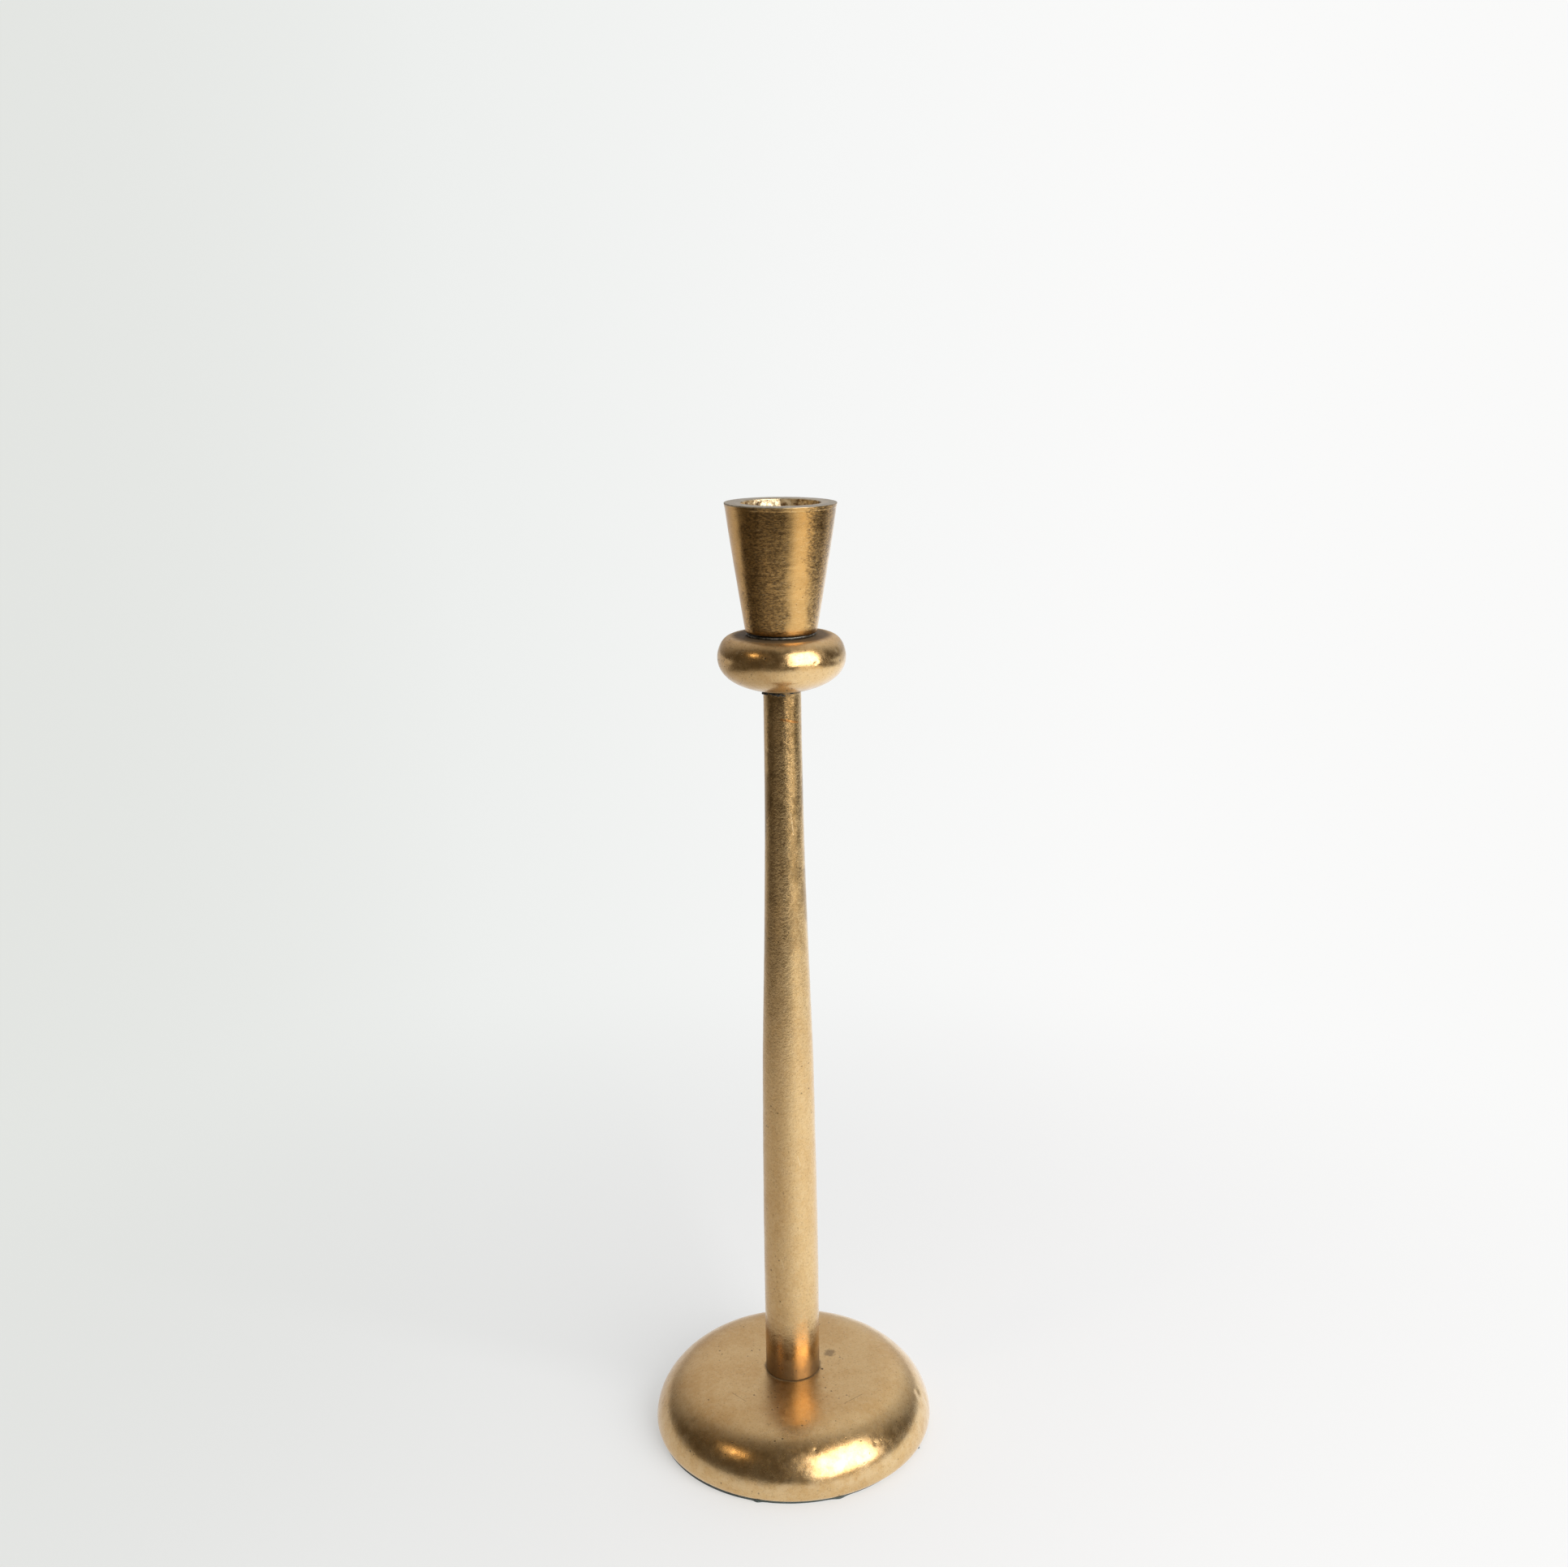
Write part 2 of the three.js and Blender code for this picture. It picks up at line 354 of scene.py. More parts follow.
class Paint(Nodes):
    """A material built from nodes, with sizes in mm."""

    def __init__(self, name):
        self.material = bpy.data.materials.new(name)
        self.material.use_nodes = True
        super().__init__(self.material.node_tree)
        metres = self.add("ShaderNodeTexCoord").outputs["Object"]
        self.place = self.vector("SCALE", metres, scale=1 / MM)
        split = self.add("ShaderNodeSeparateXYZ", {0: self.place})
        self.x, self.y, self.z = split.outputs
        self.radius = self.math("SQRT", self.math("ADD", self.square(self.x), self.square(self.y)))

    def square(self, a):
        return self.math("MULTIPLY", a, a)

    def noise(self, size, detail=3.0, rough=0.55, stretch=(1, 1, 1), seed=0.0, bend=0.0):
        """Noise from 0 to 1 whose lumps are about `size` across, longer where stretch is over 1."""
        scaled = self.vector("MULTIPLY", self.place, tuple(1 / (size * s) for s in stretch))
        shifted = self.vector("ADD", scaled, (seed, 1.7 * seed, 2.3 * seed))
        return self.add("ShaderNodeTexNoise", {
            "Vector": shifted, "Scale": 1.0, "Detail": detail, "Roughness": rough, "Distortion": bend,
        }).outputs["Fac"]

    def cells(self, size, seed=0.0):
        """Distance to the nearest of scattered points about `size` apart, in sizes."""
        scaled = self.vector("SCALE", self.place, scale=1 / size)
        shifted = self.vector("ADD", scaled, (seed, seed, seed))
        return self.add("ShaderNodeTexVoronoi", {"Vector": shifted, "Scale": 1.0}).outputs["Distance"]

    def times(self, *factors):
        made = factors[0]
        for factor in factors[1:]:
            made = self.math("MULTIPLY", made, factor)
        return made

    def most(self, *masks):
        made = masks[0]
        for mask in masks[1:]:
            made = self.math("MAXIMUM", made, mask)
        return made

    def spot(self, centre, radius, seed=0.0):
        """A ragged round mark: 1 inside, 0 outside."""
        away = self.vector("LENGTH", self.vector("SUBTRACT", self.place, centre))
        noise = self.noise(radius * 0.5, 3, 0.6, seed=seed)
        ragged = self.math("MULTIPLY_ADD", noise, radius * 1.1, away)
        return self.span(ragged, radius * 1.45, radius * 1.05)

    def scratch(self, start, end, width, seed=0.0):
        """A thin broken line from start to end: 1 on it, 0 off it."""
        run = Vector(end) - Vector(start)
        from_start = self.vector("SUBTRACT", self.place, start)
        covered = self.vector("DOT_PRODUCT", from_start, tuple(run))
        along = self.math("DIVIDE", covered, run.length_squared, clamp=True)
        on_line = self.add("ShaderNodeVectorMath", {0: tuple(run), "Scale": along}, operation="SCALE")
        away = self.vector("LENGTH", self.vector("SUBTRACT", from_start, on_line.outputs["Vector"]))
        broken = self.span(self.noise(1.1, 2, 0.5, seed=seed + 3), 0.30, 0.48)
        return self.times(self.span(away, width, width * 0.35), broken)

    def bump(self, height, depth, normal=None):
        """A bump of `depth` mm for a height from 0 to 1."""
        return self.add("ShaderNodeBump", {
            "Height": height, "Distance": depth * MM, "Strength": 1.0, "Normal": normal,
        }).outputs["Normal"]

    def surface(self, shader):
        """The material, now that this is its surface."""
        self.add("ShaderNodeOutputMaterial", {"Surface": shader})
        return self.material

    def shade(self, colour, metallic, roughness, normal, **constants):
        shader = self.add("ShaderNodeBsdfPrincipled", {
            "Base Color": colour, "Metallic": metallic, "Roughness": roughness, "Normal": normal,
        })
        for key, value in constants.items():
            shader.inputs[key.replace("_", " ")].default_value = value
        return self.surface(shader.outputs[0])


BRASS = (0.62, 0.405, 0.185)
BRASS_RED = (0.54, 0.32, 0.125)
BRASS_PALE = (0.70, 0.50, 0.27)
OLIVE_BRASS = (0.34, 0.235, 0.095)
PATINA = (0.20, 0.115, 0.045)
GRIME_AND_SHADE = (0.045, 0.034, 0.024)
ORANGE_SCAR = (0.50, 0.23, 0.065)
FOOT_BROWN = (0.26, 0.19, 0.12)
CUP_BRASS = (0.62, 0.365, 0.13)
CUP_BRASS_RED = (0.45, 0.26, 0.09)
# Painted shade for the cup's front:
CUP_FRONT_SHADE = (0.145, 0.082, 0.032)
RIM_DULL = (0.25, 0.215, 0.155)
RIM_PALE = (0.36, 0.32, 0.24)
BORE_DARK = (0.24, 0.15, 0.08)
BORE_PALE = (0.88, 0.72, 0.47)
STEEL_DARK = (0.055, 0.055, 0.048)
STEEL_PALE = (0.13, 0.125, 0.105)
STEEL_WORN = (0.33, 0.32, 0.29)
RUST = (0.12, 0.055, 0.022)
ZINC_DARK = (0.40, 0.41, 0.42)
ZINC_PALE = (0.56, 0.57, 0.585)
ZINC_DULL = (0.23, 0.225, 0.21)
FELT_DARK = (0.006, 0.020, 0.016)
FELT_PALE = (0.022, 0.055, 0.045)
FELT_CLUMP = (0.012, 0.030, 0.022)
LINT = (0.16, 0.15, 0.13)
RESIDUE_DARK = (0.010, 0.009, 0.007)
RESIDUE_BROWN = (0.050, 0.040, 0.028)


def cast_colour(p, patches, pits, patch_size, seed=0.0):
    """Tan-gold cast brass: slow patches, fine mottling and dark pits. Gives (colour, pit mask)."""
    patch = p.span(p.noise(patch_size, 5, 0.6, seed=seed, bend=0.4), 0.38, 0.66, 0.0, patches)
    colour = p.blend(patch, BRASS, BRASS_RED)
    mottle = p.span(p.noise(1.6, 4, 0.65, seed=seed + 5), 0.40, 0.66, 0.0, 0.30)
    colour = p.blend(mottle, colour, BRASS_PALE)
    fine = p.span(p.noise(0.55, 3, 0.6, seed=seed + 9), 0.46, 0.30, 0.0, 0.38)
    colour = p.blend(fine, colour, PATINA)
    pit = p.times(
        p.span(p.cells(2.3, seed=seed + 2), 0.17, 0.09),
        p.span(p.noise(9, 3, 0.5, seed=seed + 7), 0.50, 0.62),
    )
    colour = p.blend(p.times(pit, pits), colour, GRIME_AND_SHADE)
    return colour, pit


def grain_normal(p, depth, pit, pit_depth, size, seed=0.0):
    """Sand-cast grain: fine round bumps over softer ones, with the pits pressed in."""
    coarse = p.bump(p.noise(size * 3.4, 3, 0.5, seed=seed + 21), depth * 2.2)
    fine = p.bump(p.noise(size, 3, 0.6, seed=seed + 11), depth, coarse)
    return p.bump(p.math("SUBTRACT", 1.0, pit), pit_depth, fine)


def base_brass():
    p = Paint("cast_brass_base")
    colour, pit = cast_colour(p, patches=0.75, pits=0.65, patch_size=16)
    edge_wear = p.times(
        p.span(p.radius, 37.0, 41.5), p.span(p.z, 2.0, 5.5),
        p.span(p.noise(4, 4, 0.6, seed=31), 0.42, 0.60, 0.0, 0.5),
    )
    colour = p.blend(edge_wear, colour, BRASS_PALE)
    # Painted shade: darker inside the hollow underneath and along the bottom edge. The seam at the stem, the
    # smudge and the speck are real dirt.
    under = p.times(p.span(p.z, 13.6, 13.2), p.span(p.radius, 38.8, 38.3))
    foot = p.span(p.math("MULTIPLY_ADD", p.noise(2.2, 4, 0.6, seed=33), 1.6, p.z), 2.2, 1.3, 0.0, 0.6)
    seam = p.span(p.math("MULTIPLY_ADD", p.noise(1.5, 3, 0.6, seed=34), 1.1, p.radius), 9.9, 9.1, 0.0, 0.5)
    smudge = p.times(p.spot((11.8, 6.6, 18.5), 2.5, seed=35), 0.48)
    speck = p.times(p.spot((9.3, -2.2, 18.5), 0.55, seed=36), 0.9)
    darkening = p.most(p.times(under, 0.75), foot, seam, smudge, speck)
    colour = p.blend(darkening, colour, GRIME_AND_SHADE)
    marks = [
        ((24.2, -31.0, 12.8), (26.0, -31.4, 12.0)),
        ((26.0, -29.6, 12.6), (27.8, -30.2, 11.8)),
        ((6.2, -35.6, 15.8), (8.6, -35.8, 15.6)),
        ((6.4, -37.0, 14.9), (7.4, -37.6, 14.3)),
        ((-19.0, -14.0, 18.5), (-14.5, -18.5, 18.5)),
        ((16.0, -20.0, 18.5), (21.5, -15.5, 18.4)),
    ]
    lines = p.most(*[p.scratch(a, b, 0.22, seed=k) for k, (a, b) in enumerate(marks)])
    colour = p.blend(p.times(lines, 0.55), colour, PATINA)
    satin = p.span(p.radius, 38.0, 24.0)
    uneven = p.noise(2.6, 4, 0.6, seed=37)
    roughness = p.math("MULTIPLY_ADD", satin, 0.10, p.span(uneven, 0.3, 0.7, 0.22, 0.29))
    roughness = p.math("MULTIPLY_ADD", darkening, 0.35, roughness, clamp=True)
    normal = grain_normal(p, 0.011, pit, 0.03, size=0.5)
    normal = p.bump(p.math("SUBTRACT", 1.0, lines), 0.02, normal)
    metallic = p.math("MULTIPLY_ADD", darkening, -0.6, 1.0)
    return p.shade(colour, metallic, roughness, normal)


def on_stem(degrees, z):
    """A point on the stem's side."""
    heights, radii = zip(*STEM_OUTLINE)
    r = float(np.interp(z, heights, radii))
    return (r * math.cos(math.radians(degrees)), r * math.sin(math.radians(degrees)), z)


def stem_brass():
    p = Paint("cast_brass_stem")
    colour, pit = cast_colour(p, patches=0.45, pits=0.55, patch_size=9, seed=40)
    upper = p.span(p.z, 120, 200)
    dark_patch = p.span(p.noise(7, 5, 0.62, stretch=(1, 1, 2.4), seed=41, bend=0.5), 0.47, 0.60)
    colour = p.blend(p.times(dark_patch, upper, 0.72), colour, PATINA)
    colour = p.blend(p.times(upper, 0.25), colour, OLIVE_BRASS)
    # Brown at the stem's foot: patina, plus painted shade that dims the reflections there.
    foot = p.span(p.math("MULTIPLY_ADD", p.noise(3, 4, 0.6, seed=42), 6.0, p.z), 32.0, 23.0, 0.0, 0.75)
    seam = p.span(p.z, 18.95, 18.65, 0.0, 0.5)
    top = p.span(p.math("MULTIPLY_ADD", p.noise(1.6, 3, 0.6, seed=43), -2.4, p.z), 236.8, 238.0, 0.0, 0.7)
    colour = p.blend(foot, colour, FOOT_BROWN)
    darkening = p.most(seam, top)
    colour = p.blend(darkening, colour, GRIME_AND_SHADE)
    scar_points = [on_stem(-94, 231.4), on_stem(-76, 231.1), on_stem(-58, 230.6), on_stem(-38, 230.2)]
    scar_runs = [(a, b, seed) for a, b in zip(scar_points, scar_points[1:]) for seed in (44, 58, 61)]
    scar = p.most(*[p.scratch(a, b, 0.52, seed=seed) for a, b, seed in scar_runs])
    colour = p.blend(p.times(scar, 0.85), colour, ORANGE_SCAR)
    ticks = p.most(
        p.scratch(on_stem(-152, 222.6), on_stem(-122, 221.9), 0.30, seed=45),
        p.scratch(on_stem(-154, 199.6), on_stem(-118, 198.8), 0.30, seed=46),
        p.scratch(on_stem(-72, 96.0), on_stem(-66, 92.5), 0.24, seed=47),
        p.scratch(on_stem(-111, 61.0), on_stem(-105, 58.0), 0.24, seed=48),
        p.scratch(on_stem(-70, 204.0), on_stem(-62, 197.0), 0.30, seed=54),
    )
    colour = p.blend(p.times(ticks, 0.75), colour, BRASS_PALE)
    uneven = p.noise(3.2, 4, 0.6, seed=49)
    roughness = p.math("MULTIPLY_ADD", upper, -0.04, p.span(uneven, 0.3, 0.7, 0.20, 0.30))
    roughness = p.math("MULTIPLY_ADD", p.most(darkening, foot), 0.3, roughness, clamp=True)
    skin = p.times(p.span(p.noise(0.80, 3, 0.7, seed=53), 0.30, 0.72), p.span(p.z, 30, 60, 0.25, 1.0))
    skin_dark = p.times(p.span(skin, 0.50, 0.15), p.span(p.z, 90, 190, 0.35, 1.0), 0.30)
    colour = p.blend(skin_dark, colour, PATINA)
    normal = grain_normal(p, 0.010, pit, 0.03, seed=50, size=0.5)
    normal = p.bump(skin, 0.032, normal)
    metallic = p.math("MULTIPLY_ADD", darkening, -0.5, 1.0)
    return p.shade(colour, metallic, roughness, normal)


def collar_brass():
    p = Paint("cast_brass_collar")
    colour, pit = cast_colour(p, patches=0.45, pits=0.8, patch_size=8, seed=60)
    left_pits = p.times(
        p.span(p.cells(1.15, seed=66), 0.20, 0.10), p.span(p.x, -4, -14),
        p.span(p.noise(4, 3, 0.5, seed=67), 0.40, 0.52),
    )
    colour = p.blend(p.times(left_pits, 0.7), colour, GRIME_AND_SHADE)
    pit = p.most(pit, left_pits)
    turning_lines = p.span(p.noise(0.35, 4, 0.6, stretch=(16, 16, 1), seed=61), 0.40, 0.30, 0.0, 0.4)
    colour = p.blend(turning_lines, colour, PATINA)
    # Darker on top round the cup's foot: partly residue, partly painted shade under the cup. The band under
    # the collar's belly is painted shade.
    near_cup = p.span(p.math("MULTIPLY_ADD", p.noise(1.4, 3, 0.6, seed=62), 1.6, p.radius), 16.4, 13.2)
    on_top = p.span(p.z, 254.0, 254.7)
    below = p.span(p.z, 241.2, 239.6, 0.0, 0.6)
    darkening = p.most(p.times(near_cup, on_top, 0.8), below)
    colour = p.blend(darkening, colour, GRIME_AND_SHADE)
    roughness = p.span(p.noise(2.0, 4, 0.6, seed=63), 0.3, 0.7, 0.19, 0.31)
    roughness = p.math("MULTIPLY_ADD", darkening, 0.35, roughness, clamp=True)
    dull_crown = p.times(p.span(p.radius, 18.0, 15.5), p.span(p.z, 252.0, 253.5))
    roughness = p.math("MULTIPLY_ADD", dull_crown, 0.20, roughness, clamp=True)
    normal = grain_normal(p, 0.014, pit, 0.06, seed=64, size=0.55)
    normal = p.bump(p.noise(0.35, 3, 0.6, stretch=(16, 16, 1), seed=61), 0.010, normal)
    metallic = p.math("MULTIPLY_ADD", darkening, -0.5, 1.0)
    return p.shade(colour, metallic, roughness, normal)


def cup_brass():
    p = Paint("aged_brass_cup")
    floor_z = CUP_BOTTOM_Z + CUP_HEIGHT - SOCKET_DEPTH
    rim_z = CUP_BOTTOM_Z + CUP_HEIGHT
    patch = p.span(p.noise(7, 5, 0.62, stretch=(1.4, 1.4, 1), seed=71, bend=0.5), 0.36, 0.66, 0.0, 0.55)
    colour = p.blend(patch, CUP_BRASS, CUP_BRASS_RED)
    brushed = p.noise(0.20, 4, 0.7, stretch=(7, 7, 1), seed=72)
    # Painted shade: two dark bands down the cup's front only. The brass between them is left unshaded for
    # the highlight.
    wander = p.math("MULTIPLY_ADD", p.noise(3.5, 4, 0.65, seed=90), 7.0, -3.5)
    across = p.math("ADD", p.x, wander)
    left_band = p.times(p.span(across, -11.5, -8.5), p.span(across, 3.2, 0.6))
    right_band = p.span(across, 6.4, 8.8)
    front_shade = p.times(
        p.most(left_band, right_band), p.span(p.y, -2, -5),
        p.span(p.noise(0.45, 4, 0.7, stretch=(2.2, 2.2, 1), seed=91), 0.66, 0.36),
    )
    colour = p.blend(p.times(front_shade, 0.92), colour, CUP_FRONT_SHADE)
    colour = p.blend(p.span(brushed, 0.54, 0.70, 0.0, 0.55), colour, BRASS_PALE)
    colour = p.blend(p.span(brushed, 0.44, 0.30, 0.0, 0.45), colour, PATINA)
    speckle = p.times(
        p.span(p.cells(1.5, seed=73), 0.20, 0.10), p.span(p.noise(5, 3, 0.5, seed=74), 0.46, 0.60),
    )
    colour = p.blend(p.times(speckle, 0.5), colour, PATINA)
    flare = p.math("MULTIPLY", p.math("SUBTRACT", p.z, floor_z), 0.08)
    outside = p.span(p.math("SUBTRACT", p.radius, flare), 11.2, 12.0)
    bore = p.times(
        p.math("SUBTRACT", 1.0, outside), p.span(p.z, rim_z + 0.02, rim_z - 0.5),
        p.span(p.z, floor_z - 1.0, floor_z - 0.5),
    )
    rim = p.span(p.z, rim_z - 0.42, rim_z - 0.18)
    rim_colour = p.blend(p.span(p.noise(1.3, 4, 0.65, seed=75), 0.36, 0.62), RIM_DULL, RIM_PALE)
    colour = p.blend(p.times(rim, 0.85), colour, rim_colour)
    rough_cast = p.noise(1.5, 4, 0.7, seed=76)
    bore_colour = p.blend(p.span(rough_cast, 0.34, 0.56), BORE_DARK, BORE_PALE)
    colour = p.blend(bore, colour, bore_colour)
    marks = [
        ((9.5, -8.6, 286.0), (10.9, -6.9, 282.5)),
        ((10.4, -6.2, 277.5), (9.4, -6.9, 273.5)),
        ((8.7, -7.2, 268.5), (9.6, -5.4, 266.0)),
        ((-9.0, -8.6, 281.0), (-7.4, -9.6, 279.0)),
    ]
    lines = p.most(*[p.scratch(a, b, 0.36, seed=80 + k) for k, (a, b) in enumerate(marks)])
    colour = p.blend(p.times(lines, 0.7), colour, BRASS_PALE)
    foot = p.span(p.math("MULTIPLY_ADD", p.noise(1.2, 3, 0.6, seed=77), 0.5, p.z), 256.3, 256.0, 0.0, 0.35)
    colour = p.blend(foot, colour, GRIME_AND_SHADE)
    roughness = p.span(p.noise(2.4, 4, 0.6, seed=78), 0.3, 0.7, 0.17, 0.26)
    roughness = p.math("MULTIPLY_ADD", p.most(bore, rim), 0.22, roughness, clamp=True)
    skin = p.noise(0.50, 4, 0.7, stretch=(1.6, 1.6, 1), seed=79)
    normal = p.bump(skin, 0.022, p.bump(brushed, 0.010))
    normal = p.bump(p.times(bore, rough_cast), 0.16, normal)
    normal = p.bump(p.math("SUBTRACT", 1.0, p.most(lines, speckle)), 0.02, normal)
    metallic = p.math("MULTIPLY_ADD", p.most(foot, p.times(rim, 0.35)), -0.6, 1.0)
    return p.shade(colour, metallic, roughness, normal)


def ring_steel():
    p = Paint("dark_steel_ring")
    patch = p.span(p.noise(2.4, 5, 0.65, seed=90), 0.36, 0.64)
    colour = p.blend(patch, STEEL_DARK, STEEL_PALE)
    rust = p.span(p.noise(0.8, 4, 0.65, seed=91), 0.58, 0.70, 0.0, 0.7)
    colour = p.blend(rust, colour, RUST)
    worn = p.times(p.span(p.radius, 9.7, 9.95), p.span(p.noise(1.0, 3, 0.6, seed=92), 0.45, 0.60, 0.0, 0.7))
    colour = p.blend(worn, colour, STEEL_WORN)
    roughness = p.math("MULTIPLY_ADD", rust, 0.3, p.span(patch, 0, 1, 0.36, 0.52))
    normal = p.bump(p.noise(0.5, 4, 0.65, seed=93), 0.012)
    return p.shade(colour, p.span(rust, 0.0, 0.7, 0.9, 0.25), roughness, normal)


def zinc_steel(name, seed):
    p = Paint(name)
    spangle = p.span(p.noise(1.4, 4, 0.6, seed=seed), 0.34, 0.66)
    colour = p.blend(spangle, ZINC_DARK, ZINC_PALE)
    dull = p.span(p.noise(4, 4, 0.6, seed=seed + 1), 0.50, 0.66, 0.0, 0.65)
    colour = p.blend(dull, colour, ZINC_DULL)
    roughness = p.math("MULTIPLY_ADD", dull, 0.2, p.span(spangle, 0, 1, 0.26, 0.38))
    normal = p.bump(p.noise(0.35, 3, 0.6, seed=seed + 2), 0.004)
    return p.shade(colour, 1.0, roughness, normal)


def green_felt():
    p = Paint("teal_felt")
    fibre = p.noise(0.22, 5, 0.7, stretch=(1, 1, 0.5), seed=100, bend=1.5)
    clump = p.noise(2.0, 4, 0.6, seed=101)
    colour = p.blend(p.span(fibre, 0.35, 0.65), FELT_DARK, FELT_PALE)
    colour = p.blend(p.span(clump, 0.45, 0.65, 0.0, 0.5), colour, FELT_CLUMP)
    lint = p.span(p.cells(3.1, seed=102), 0.07, 0.04, 0.0, 0.6)
    colour = p.blend(lint, colour, LINT)
    normal = p.bump(fibre, 0.18, p.bump(clump, 0.12))
    return p.shade(colour, 0.0, 0.95, normal, Sheen_Weight=0.5, Sheen_Roughness=0.6)


def residue_black():
    p = Paint("black_residue")
    crust = p.noise(0.45, 4, 0.65, seed=110)
    colour = p.blend(p.span(crust, 0.35, 0.65), RESIDUE_DARK, RESIDUE_BROWN)
    return p.shade(colour, 0.0, p.span(crust, 0.3, 0.7, 0.45, 0.75), p.bump(crust, 0.05))


# ---- Pieces ----


def base_casting():
    lower = quarter(BASE_FOOT_R, BASE_R - BASE_FOOT_R, BASE_WIDEST_Z, FELT_T - BASE_WIDEST_Z, 2, 14)[::-1]
    shoulder = quarter(
        SHOULDER_R, BASE_R - SHOULDER_R, BASE_WIDEST_Z, SHOULDER_Z - BASE_WIDEST_Z, SHOULDER_POWER, 90,
    )
    shoulder = shoulder[shoulder[:, 0] > DOME_FROM_R]
    (before_r, before_z), (start_r, start_z) = shoulder[-2:]
    start_slope = (start_z - before_z) / (before_r - start_r)
    power = start_slope * DOME_RUN / (STEM_SEAT_Z - start_z)
    dome_r = np.linspace(start_r, STEM_SEAT_R, 90)[1:]
    rise = 1 - (1 - ((start_r - dome_r) / DOME_RUN).clip(0, 1)) ** power
    dome = np.column_stack([dome_r, start_z + (STEM_SEAT_Z - start_z) * rise])
    outside = softened(divided(np.vstack([lower, shoulder[1:], dome]), 0.3), 3)
    under = rounded([
        (STEM_SEAT_R, STEM_SEAT_Z, 0),
        (WASHER_HOLE_R, STEM_SEAT_Z, 0.3),
        (WASHER_HOLE_R, BOSS_Z, 0.3),
        (BOSS_R, BOSS_Z, 0.8),
        (BOSS_R, HOLLOW_ROOF_Z, 0.9),
        (HOLLOW_TOP_R, HOLLOW_ROOF_Z, 1.5),
        (HOLLOW_CORNER_R, HOLLOW_CORNER_Z, 2),
        (HOLLOW_R, FELT_T, 0),
    ])
    outline = np.vstack([outside, divided(under, 1.5)[1:]])
    bruises = [
        ((39.6, -6.4, 12.4), 1.5, 0.16),
        ((42.0, -4.9, 8.9), 1.1, 0.13),
        ((25.1, -31.2, 12.4), 0.9, 0.05),
        ((6.9, -37.3, 14.6), 0.8, 0.08),
        ((-30.5, -22.5, 13.6), 1.3, 0.10),
    ]

    def relief(points, r, z):
        off_stem = np.clip((r - 9.8) / 3, 0, 1)
        off_foot = np.clip((z - 0.9) / 1.2, 0, 1) * (z > 2.0 * (r < 41))
        shown = off_stem * off_foot
        waves = 0.055 * lumps(points, 11, 1) + 0.022 * lumps(points, 4.2, 2) + 0.007 * lumps(points, 1.9, 3)
        return shown * (waves + dents(points, bruises)) - 0.07 * shown

    return turned("base_casting", outline, 720, relief=relief)


def stem_rod():
    side = curve_through(STEM_OUTLINE, 560)
    foot = rounded([
        (SCREW_HOLE_R, STEM_SEAT_Z, 0),
        (STEM_FOOT_R, STEM_SEAT_Z, STEM_EDGE),
        (STEM_FOOT_R, STEM_FOOT_TOP_Z, 0),
    ])
    outline = np.vstack([
        [[0, SCREW_HOLE_TOP + DRILL_TIP * SCREW_HOLE_R], [SCREW_HOLE_R, SCREW_HOLE_TOP]],
        divided(foot, 0.6),
        side[side[:, 1] > STEM_FOOT_TOP_Z + 0.4][:-1],
        rounded([
            (STEM_TOP_R, STEM_TOP_Z - 0.4, 0), (STEM_TOP_R, STEM_TOP_Z, 0.15), (STUD_HOLE_R, STEM_TOP_Z, 0),
        ])[1:],
        [[STUD_HOLE_R, STUD_HOLE_BOTTOM], [0, STUD_HOLE_BOTTOM - DRILL_TIP * STUD_HOLE_R]],
    ])

    def relief(points, r, z):
        outer = r > STEM_TOP_R - 0.6
        shown = outer * np.clip(z - 18.9, 0, 1) * np.clip(STEM_TOP_Z - 0.3 - z, 0, 1)
        waves = 0.045 * lumps(points, 14, 11) + 0.018 * lumps(points, 4.5, 12)
        fine = 0.007 * lumps(points, 1.7, 13) * np.clip((190 - z) / 60, 0.3, 1)
        return shown * (waves + fine - 0.03)

    return turned("stem_rod", outline, 200, relief=relief)


def collar_disc():
    belly = quarter(
        0, COLLAR_R, COLLAR_MIDDLE_Z, -COLLAR_BELLY, COLLAR_BELLY_POWER, 110,
        reach=(COLLAR_MIDDLE_Z - STEM_TOP_Z) / COLLAR_BELLY,
    )[::-1]
    crown = quarter(
        COLLAR_FLAT_R, COLLAR_R - COLLAR_FLAT_R, COLLAR_MIDDLE_Z, COLLAR_TOP_Z - COLLAR_MIDDLE_Z,
        COLLAR_TOP_POWER, 60,
    )
    outside = softened(divided(np.vstack([belly, crown[1:], [[COLLAR_INNER_R, COLLAR_TOP_Z]]]), 0.22), 3)
    hole = rounded([
        (COLLAR_INNER_R, COLLAR_TOP_Z, 0),
        (COLLAR_HOLE_R, COLLAR_TOP_Z, 0.3),
        (COLLAR_HOLE_R, STEM_TOP_Z, 0.3),
        (outside[0, 0], STEM_TOP_Z, 0),
    ])
    outline = np.vstack([outside, divided(hole, 1.0)[1:-1]])
    nicks = [
        ((9.5, -15.8, 249.5), 0.55, 0.08),
        ((-4.2, -17.7, 251.0), 0.5, 0.07),
        ((3.4, -17.6, 246.0), 0.6, 0.08),
        ((-12.5, -12.5, 252.5), 0.6, 0.06),
        ((15.6, -8.4, 252.0), 0.7, 0.08),
    ]

    def relief(points, r, z):
        off_hole = np.clip((r - 10.4) / 2, 0, 1)
        on_belly = np.clip((245 - z) / 2, 0, 1) * np.clip((z - 239.4) / 0.8, 0, 1)
        shown = (off_hole + on_belly).clip(0, 1)
        waves = 0.030 * lumps(points, 8, 21) + 0.012 * lumps(points, 3.1, 22)
        return shown * (waves + dents(points, nicks) - 0.035)

    return turned("collar_disc", outline, 420, relief=relief)


